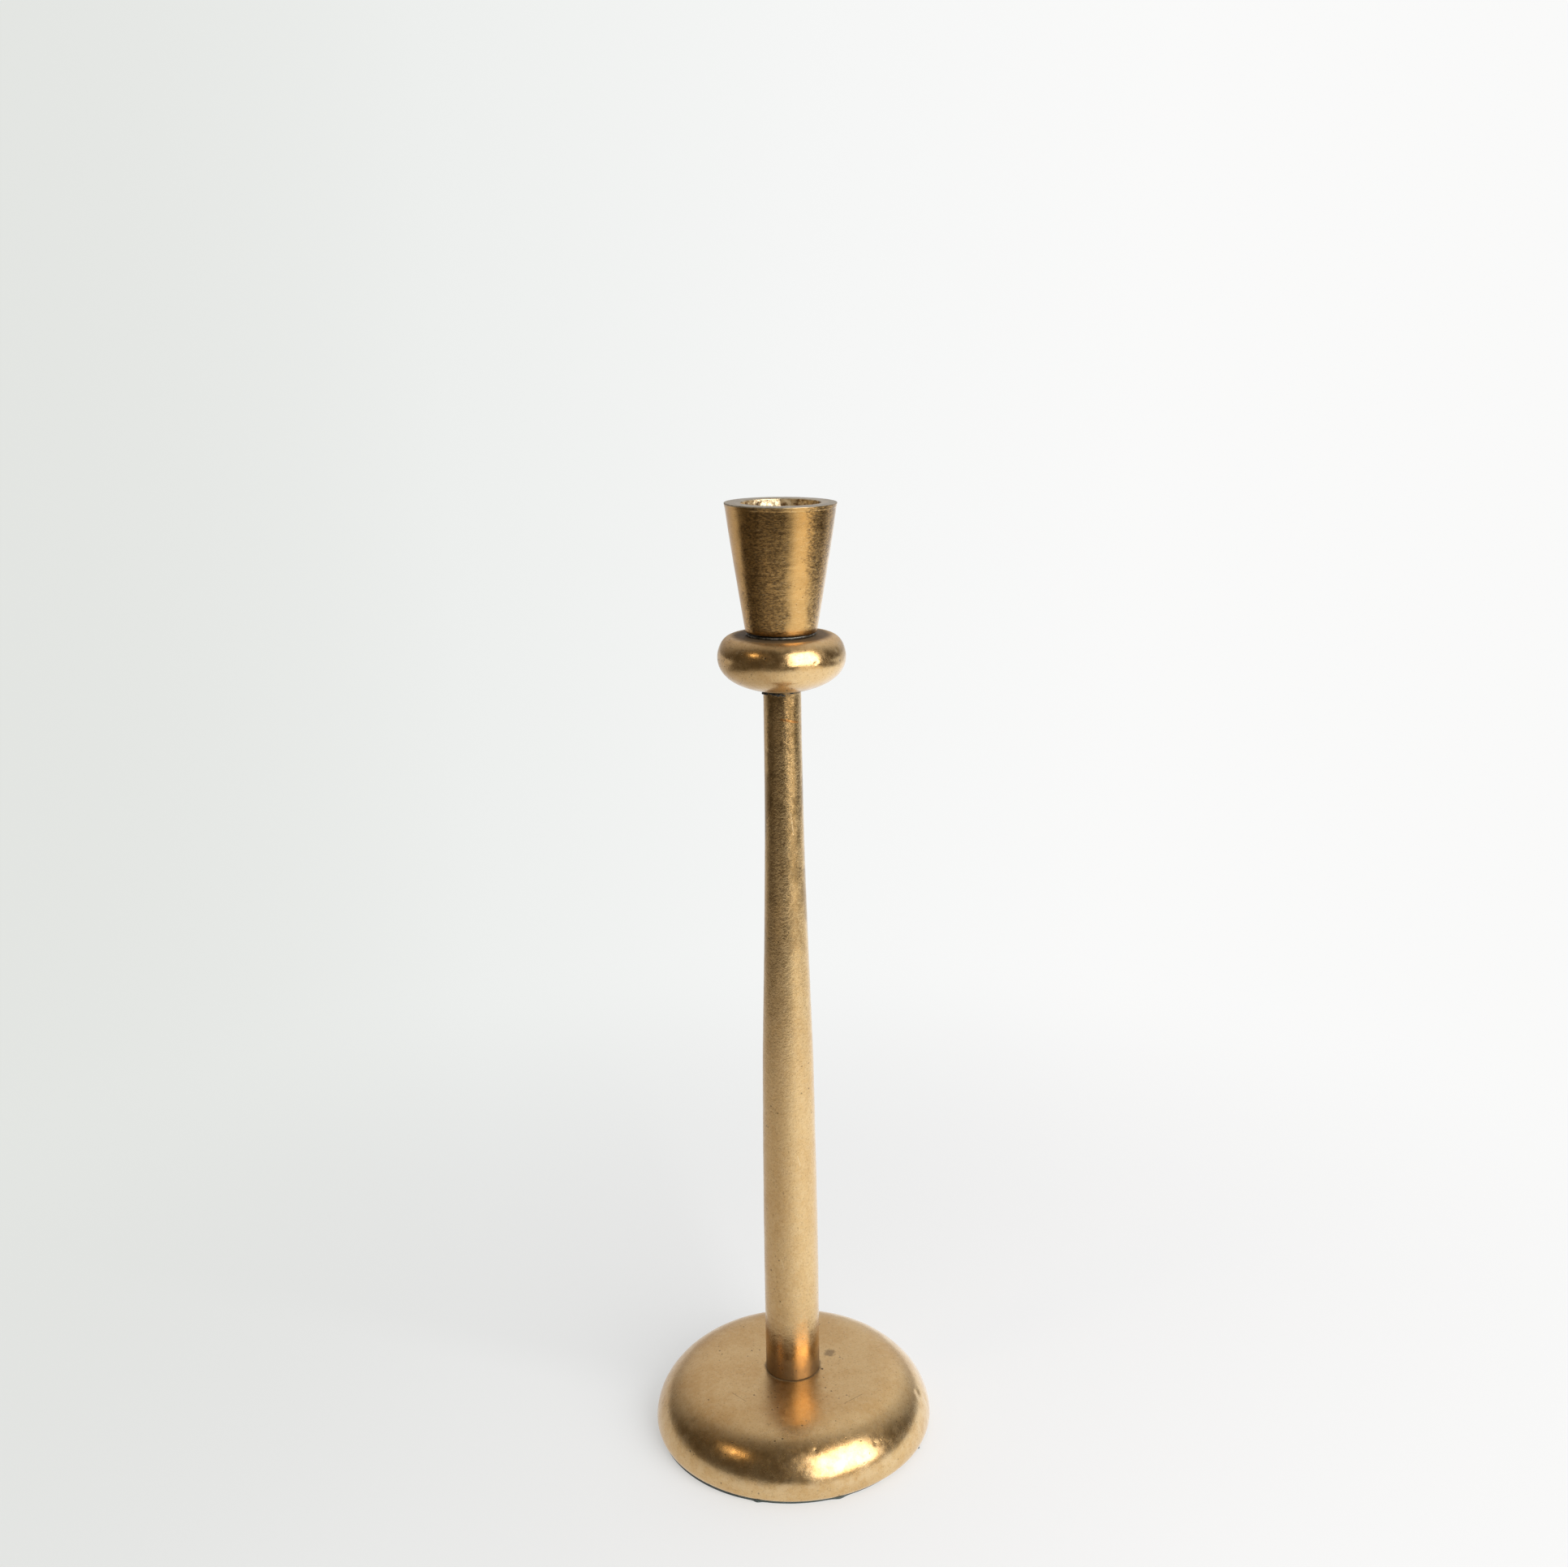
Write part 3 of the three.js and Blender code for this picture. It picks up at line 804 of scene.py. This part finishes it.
def seat_ring():
    outline = rounded([
        (COLLAR_HOLE_R, 0.12, 0.1), (COLLAR_HOLE_R + 0.12, 0, 0.1),
        (RING_R - 0.02, 0, 0.2), (RING_R, RING_T, 0.2),
        (COLLAR_HOLE_R + 0.12, RING_T, 0.1), (COLLAR_HOLE_R, RING_T - 0.12, 0.1),
    ])
    drop = RING_R * math.sin(-RING_CANT)

    def relief(points, r, z):
        return -0.015 + 0.015 * lumps(points, 1.5, 31) * (r > 9)

    return turned(
        "seat_ring", divided(outline, 0.8), 200, relief=relief,
        place=lambda points: leant(points, RING_CANT, COLLAR_TOP_Z + RING_GAP + drop),
    )


def cup_turning():
    floor_z = CUP_HEIGHT - SOCKET_DEPTH
    hole_r = STUD_HOLE_R
    outside = rounded([
        (hole_r + 0.25, 0, 0),
        (CUP_BOTTOM_R, 0, 0.35),
        (CUP_RIM_R, CUP_HEIGHT, 0.34),
        (SOCKET_R, CUP_HEIGHT, 0.4),
        (SOCKET_FLOOR_R, floor_z, 1.1),
        (0, floor_z, 0),
    ], steps=6)
    hole = [[0, CUP_THREAD_DEPTH + DRILL_TIP], [hole_r, CUP_THREAD_DEPTH], [hole_r, 0.25]]
    outline = np.vstack([hole[:1], divided(np.array(hole[1:]), 0.5), divided(outside, 0.24)])

    def reshape(r, a, z):
        share = np.clip(z / CUP_HEIGHT, 0, 1)
        outer = r > 9.7 + CUP_FLARE * share
        near_rim = np.clip((share - 0.80) / 0.15, 0, 1) * (share < 0.97)
        swell = 0.10 * np.sin(math.pi * share) - 0.05 * near_rim
        return r + outer * (share > 0.02) * swell

    def relief(points, r, z):
        share = np.clip(z / CUP_HEIGHT, 0, 1)
        outer = (r > 9.5 + CUP_FLARE * share) * (share > 0.02) * (share < 0.985)
        bore = (r < BORE_WITHIN_R) * (z > floor_z - 0.1)
        around = points * np.array([0.25, 0.25, 1.0])
        skin = 0.018 * lumps(points, 7, 41) + 0.010 * lumps(around, 0.8, 42) - 0.02
        rough = 0.16 * lumps(points, 1.7, 43) + 0.06 * lumps(points, 0.8, 44) - 0.10
        rim = (z > CUP_HEIGHT - 0.05) * (0.02 * lumps(points, 1.2, 45) - 0.02)
        return outer * skin + bore * rough * np.clip((CUP_HEIGHT - z) / 0.6, 0, 1) + rim

    def place(points):
        inner = np.hypot(points[:, 0], points[:, 1]) < hole_r + 0.3
        below = inner & (points[:, 2] < CUP_THREAD_DEPTH + 2.5)
        moved = leant(points, CUP_LEAN, CUP_BOTTOM_Z)
        upright = points + np.array([0, 0, CUP_BOTTOM_Z])
        return np.where(below[:, None], upright, moved)

    return turned("cup_turning", outline, 420, reshape=reshape, relief=relief, place=place)


def thread(minor, major, pitch, bottom, top):
    """A reshape that cuts a helical thread between bottom and top, running out at both ends."""
    def reshape(r, a, z):
        phase = (z / pitch - a / (2 * math.pi)) % 1
        ridge = np.clip(1.6 - 4.2 * np.abs(phase - 0.5), 0, 1)
        ends = np.clip(np.minimum(z - bottom, top - z) / pitch, 0, 1)
        cut = minor + (major - minor) * ridge
        return np.where(r > minor, r + (np.minimum(cut, r) - r) * ends, r)

    return reshape


def stem_stud():
    outline = rounded([
        (0, STUD_BOTTOM_Z, 0), (STUD_R - 0.5, STUD_BOTTOM_Z, 0.1), (STUD_R, STUD_BOTTOM_Z + 0.5, 0.1),
        (STUD_R, STUD_TOP_Z - 0.5, 0.1), (STUD_R - 0.5, STUD_TOP_Z, 0.1), (0, STUD_TOP_Z, 0),
    ])
    cut = thread(STUD_R - 0.55, STUD_R, STUD_PITCH, STUD_BOTTOM_Z + 0.4, STUD_TOP_Z - 0.4)
    return turned("stud_rod", divided(outline, 0.11), 64, reshape=cut)


def base_screw():
    corner = HEX_ACROSS_FLATS / math.sqrt(3)
    outline = divided(rounded([
        (0, HEX_Z, 0), (corner, HEX_Z, 0.05), (corner, HEX_TOP_Z, 0.05), (SCREW_R, HEX_TOP_Z, 0.1),
        (SCREW_R, SCREW_TIP_Z - 0.7, 0.1), (SCREW_R - 0.7, SCREW_TIP_Z, 0.1), (0, SCREW_TIP_Z, 0),
    ]), 0.14)
    cut = thread(SCREW_R - 0.68, SCREW_R, SCREW_PITCH, HEX_TOP_Z + 4, SCREW_TIP_Z - 0.6)

    def reshape(r, a, z):
        sixth = (a % (math.pi / 3)) - math.pi / 6
        flat = HEX_ACROSS_FLATS / 2 / np.cos(sixth)
        chamfer = HEX_ACROSS_FLATS / 2 * 0.985 + np.minimum(z - HEX_Z, 1.2) * 1.7
        head = np.minimum(r, np.minimum(flat, chamfer))
        return np.where(z <= HEX_TOP_Z + 1e-6, np.where(r > SCREW_R + 0.3, head, r), cut(r, a, z))

    return turned("screw_m8", outline, 96, reshape=reshape)


def base_spring_washer():
    """A split ring: its section swept almost all the way round, with slanting ends."""
    top = HEX_TOP_Z + SPRING_WASHER_T
    section = rounded([
        (WASHER_HOLE_R, HEX_TOP_Z, 0.01), (SPRING_WASHER_R, HEX_TOP_Z, 0.2),
        (SPRING_WASHER_R, top, 0.2), (WASHER_HOLE_R, top, 0.2),
    ], steps=3)
    steps = 96
    points = []
    for turn in np.linspace(0, 1, steps):
        for r, z in section:
            slant = (z - HEX_TOP_Z - SPRING_WASHER_T / 2) * math.tan(math.pi / 6)
            half_gap = (SPLIT_GAP / 2 / math.cos(math.pi / 6)) / r
            start, end = half_gap - slant / r, 2 * math.pi - half_gap - slant / r
            a = start + (end - start) * turn
            points.append((r * math.cos(a), r * math.sin(a), z))
    n = len(section)
    faces = []
    for i in range(steps - 1):
        for j in range(n):
            over = (j + 1) % n
            faces.append([i * n + j, (i + 1) * n + j, (i + 1) * n + over, i * n + over])
    faces.append(list(range(n)))
    faces.append([(steps - 1) * n + j for j in reversed(range(n))])
    return mesh_object("spring_washer_m8", points, faces)


def base_flat_washer():
    bottom = HEX_TOP_Z + SPRING_WASHER_T
    top = bottom + FLAT_WASHER_T
    outline = rounded([
        (WASHER_HOLE_R, bottom + 0.2, 0.1), (WASHER_HOLE_R + 0.1, bottom, 0.1), (FLAT_WASHER_R, bottom, 0.3),
        (FLAT_WASHER_R, top, 0.15), (WASHER_HOLE_R + 0.1, top, 0.1), (WASHER_HOLE_R, top - 0.2, 0.1),
    ])
    return turned("flat_washer_m8", divided(outline, 0.8), 128)


def felt_disc():
    """A disc of felt with a ragged cut edge and three loose tufts, stuck on a little off centre."""
    outline = divided(rounded([(0, 0, 0), (FELT_R, 0, 0.25), (FELT_R, FELT_T, 0.25), (0, FELT_T, 0)]), 0.5)
    tufts = [(256, 1.5, 0.55), (290, 2.6, 0.70), (337, 0.9, 1.45)]

    def near_edge(r):
        return np.clip((r - FELT_EDGE_R) / FELT_EDGE_RUN, 0, 1)

    def reshape(r, a, z):
        out = 0
        for at, width, length in tufts:
            out = out + length * np.exp(-(((np.degrees(a) - at) / width) ** 2))
        return r + out * near_edge(r)

    def relief(points, r, z):
        edge = near_edge(r) * (z > 0.2) * (z < FELT_T - 0.2)
        return edge * (0.10 * lumps(points, 1.4, 51) + 0.07 * lumps(points, 0.5, 52) - 0.12)

    return turned(
        "felt_disc", outline, 540, reshape=reshape, relief=relief,
        place=lambda points: points + np.array(FELT_OFFSET),
    )


def joint_residue():
    """Black beads of old wax and polish round the joint of stem and collar, most on one side."""
    rng = np.random.default_rng(7)
    bm = bmesh.new()
    for angle in (-172, -158, -149, -141, -128, -119, -112, -104, -97, -84, -60, 20, 75, 130):
        turn = math.radians(angle + rng.uniform(-3, 3))
        size = rng.uniform(0.30, 0.66)
        made = bmesh.ops.create_icosphere(bm, subdivisions=3, radius=size)["verts"]
        squash = Vector((rng.uniform(0.5, 0.7), rng.uniform(1.0, 1.9), rng.uniform(0.45, 0.65)))
        r = 5.40 + rng.uniform(0.0, 0.14)
        z = STEM_TOP_Z - 0.50 + rng.uniform(-0.45, 0.25)
        centre = Vector((r * math.cos(turn), r * math.sin(turn), z))
        spin = Matrix.Rotation(turn, 3, "Z")
        for v in made:
            ragged = 1 + 0.22 * math.sin(9 * v.co.x / size + angle) * math.cos(7 * v.co.y / size - angle)
            v.co = centre + spin @ Vector(v.co[k] * squash[k] * ragged for k in range(3))
    for v in bm.verts:
        v.co *= MM
    mesh = bpy.data.meshes.new("joint_residue")
    bm.to_mesh(mesh)
    bm.free()
    return in_scene("joint_residue", smooth(mesh))


finished(base_casting(), "stand", "base", base_brass())
finished(stem_rod(), "stand", "stem", stem_brass())
finished(collar_disc(), "stand", "collar", collar_brass())
finished(seat_ring(), "loose_ring", "seat_washer", ring_steel())
finished(cup_turning(), "cup", "candle_cup", cup_brass())
finished(stem_stud(), "stand", "stem_stud", zinc_steel("zinc_stud", 120))
finished(base_screw(), "stand", "base_screw", zinc_steel("zinc_screw", 130))
finished(base_spring_washer(), "stand", "base_spring_washer", zinc_steel("zinc_spring", 140))
finished(base_flat_washer(), "stand", "base_flat_washer", zinc_steel("zinc_washer", 150))
felt = finished(felt_disc(), "stand", "felt_pad", green_felt())
finished(joint_residue(), "stand", None, residue_black())

# ---- Stage: a pale floor and dome for the camera, and a table that only reflections see ----

FLOOR_REACH = 14.0
DOME_R = 13.0
FLOOR_WHITE = (0.90, 0.906, 0.915)
BACKDROP = [  # (where from left to right, colour)
    (-0.42, (0.770, 0.785, 0.760)),
    (-0.20, (0.850, 0.865, 0.850)),
    (0.0, (0.915, 0.922, 0.915)),
    (0.20, (0.955, 0.955, 0.950)),
]
# Painted reflection colours for the glowing table: dark beyond the paper, the paper darker left and brighter
# right, and the window's pool of light.
TABLE_DARK = (0.115, 0.098, 0.074)
TABLE_LEFT = (0.66, 0.65, 0.64)
TABLE_RIGHT = (1.34, 1.44, 1.56)
TABLE_POOL = (1.25, 1.12, 0.86)


def stage_mesh(name, points, faces):
    mesh = bpy.data.meshes.new(name)
    mesh.from_pydata(points, [], faces)
    made = in_scene(name, mesh)
    return made


def backdrop_colour(p):
    """The backdrop's pale grey, a little darker on the left: painted shade in the glow of the dome and the
    floor.
    """
    across = p.math("DIVIDE", p.x, p.math("ADD", p.radius, 450.0))
    ramp = p.add("ShaderNodeValToRGB", {"Fac": p.span(across, -0.5, 0.5)})
    elements = ramp.color_ramp.elements
    while len(elements) < len(BACKDROP):
        elements.new(0.5)
    for element, (at, colour) in zip(elements, BACKDROP):
        s = at + 0.5
        element.position = s * s * (3 - 2 * s)  # span eases `across` the same way
        element.color = (*colour, 1.0)
    return ramp.outputs["Color"]


def floor_material():
    p = Paint("pale_floor")
    lit = p.add("ShaderNodeBsdfDiffuse", {"Color": (*FLOOR_WHITE, 1.0), "Roughness": 0.0}).outputs[0]
    far = p.span(p.radius, 60, 420, 0.50, 1.0)
    mixed = p.add("ShaderNodeMixShader", {0: far, 1: lit, 2: p.glow(backdrop_colour(p))})
    return p.surface(mixed.outputs[0])


def dome_material():
    p = Paint("pale_dome")
    return p.surface(p.glow(backdrop_colour(p)))


def reflected_table():
    """A glowing sheet that only reflections see: painted reflections of white paper round the candlestick,
    dark beyond it, and a pool of window light at the front right.
    """
    p = Paint("reflected_table")
    paper = p.times(
        p.most(p.span(p.x, -640, -200), p.span(p.y, 100, 450)),
        p.span(p.x, 860, 580), p.span(p.y, -740, -360),
    )
    from_pool = p.vector("LENGTH", p.vector("SUBTRACT", p.place, (620, -450, 0)))
    pool = p.span(from_pool, 500, 200)
    behind = p.times(p.span(p.y, 350, 600), p.span(p.x, 200, 500))
    across = p.math("DIVIDE", p.x, p.math("ADD", p.radius, 120.0))
    white = p.blend(p.span(across, -0.55, 0.55), TABLE_LEFT, TABLE_RIGHT)
    white = p.blend(p.times(pool, p.span(p.radius, 500, 800)), white, TABLE_POOL)
    return p.surface(p.glow(p.blend(p.most(paper, pool, p.times(behind, 0.6)), TABLE_DARK, white)))


def seen_only_by(thing, *rays):
    for ray in ("camera", "diffuse", "glossy", "transmission", "shadow"):
        setattr(thing, "visible_" + ray, ray in rays)


square = [(x, y, 0) for x, y in ((-1, -1), (1, -1), (1, 1), (-1, 1))]
for name, material, rays in (
    ("floor", floor_material(), ("camera", "diffuse")),
    ("table", reflected_table(), ("glossy",)),
):
    sheet = stage_mesh(name, [tuple(FLOOR_REACH * v for v in corner) for corner in square], [(0, 1, 2, 3)])
    sheet.data.materials.append(material)
    seen_only_by(sheet, *rays)

ball = bmesh.new()
bmesh.ops.create_uvsphere(ball, u_segments=64, v_segments=32, radius=DOME_R)
dome_mesh = bpy.data.meshes.new("dome")
ball.to_mesh(dome_mesh)
ball.free()
dome = in_scene("dome", dome_mesh)
dome.data.materials.append(dome_material())
seen_only_by(dome, "camera")

# ---- Light ----

# The room is bright behind and above, and darkens towards this axis, forwards and down
DARK_AXIS = (0.0, -0.7071, -0.7071)
ROOM_LEFT = (0.68, 0.67, 0.68)
ROOM_RIGHT = (1.04, 1.09, 1.16)
ROOM_DARK = (0.095, 0.080, 0.060)


def room():
    world = bpy.data.worlds.new("room")
    bpy.context.scene.world = world
    world.use_nodes = True
    n = Nodes(world.node_tree)
    direction = n.add("ShaderNodeTexCoord").outputs["Generated"]
    rightwards = n.vector("DOT_PRODUCT", direction, (1.0, 0.0, 0.0))
    bright = n.blend(n.span(rightwards, -0.5, 0.6), ROOM_LEFT, ROOM_RIGHT)
    to_dark = n.vector("DOT_PRODUCT", direction, DARK_AXIS)
    colour = n.blend(n.span(to_dark, -0.97, -0.28), bright, ROOM_DARK)
    background = n.add("ShaderNodeBackground", {"Color": colour, "Strength": 1.0})
    n.add("ShaderNodeOutputWorld", {"Surface": background.outputs[0]})


def panel(name, centre, towards, size, colour, radiance):
    """A flat area light at centre, facing `towards`, that the camera doesn't see. Lengths in metres."""
    data = bpy.data.lights.new(name, "AREA")
    data.shape = "RECTANGLE"
    data.size, data.size_y = size
    data.color = colour
    data.energy = radiance * math.pi * size[0] * size[1]
    made = in_scene(name, data)
    facing = Vector(towards) - Vector(centre)
    made.location = centre
    made.rotation_euler = facing.to_track_quat("-Z", "Y").to_euler()
    made.visible_camera = False


room()
panel("window", (0.68, -0.73, 0.74), (0, 0, 0.74), (1.0, 1.1), (1.0, 0.985, 0.96), 5.4)
panel("lamp", (-1.32, -0.89, 1.30), (0, 0, 0.1), (0.32, 0.12), (1.0, 0.74, 0.42), 12.0)

# ---- Camera ----

CAMERA_AT = Vector((0.00613, -0.47176, 0.33675))
CAMERA_TILT = math.radians(14.914)
CAMERA_ROLL = math.radians(0.7267)
CAMERA_LENS = 38.58
CAMERA_SHIFT_X = -0.01325


def camera():
    forward = Vector((0, math.cos(CAMERA_TILT), -math.sin(CAMERA_TILT)))
    level_up = Vector((0, math.sin(CAMERA_TILT), math.cos(CAMERA_TILT)))
    side = Vector((1, 0, 0))
    right = math.cos(CAMERA_ROLL) * side - math.sin(CAMERA_ROLL) * level_up
    up = math.sin(CAMERA_ROLL) * side + math.cos(CAMERA_ROLL) * level_up
    data = bpy.data.cameras.new("camera")
    data.lens = CAMERA_LENS
    data.sensor_width = 36
    data.shift_x = CAMERA_SHIFT_X
    data.clip_start = 0.01
    data.clip_end = 60
    made = in_scene("camera", data)
    turn = Matrix((right, up, -forward)).transposed().to_4x4()
    made.matrix_world = Matrix.Translation(CAMERA_AT) @ turn
    bpy.context.scene.camera = made


camera()
bpy.context.scene.view_settings.view_transform = "Standard"
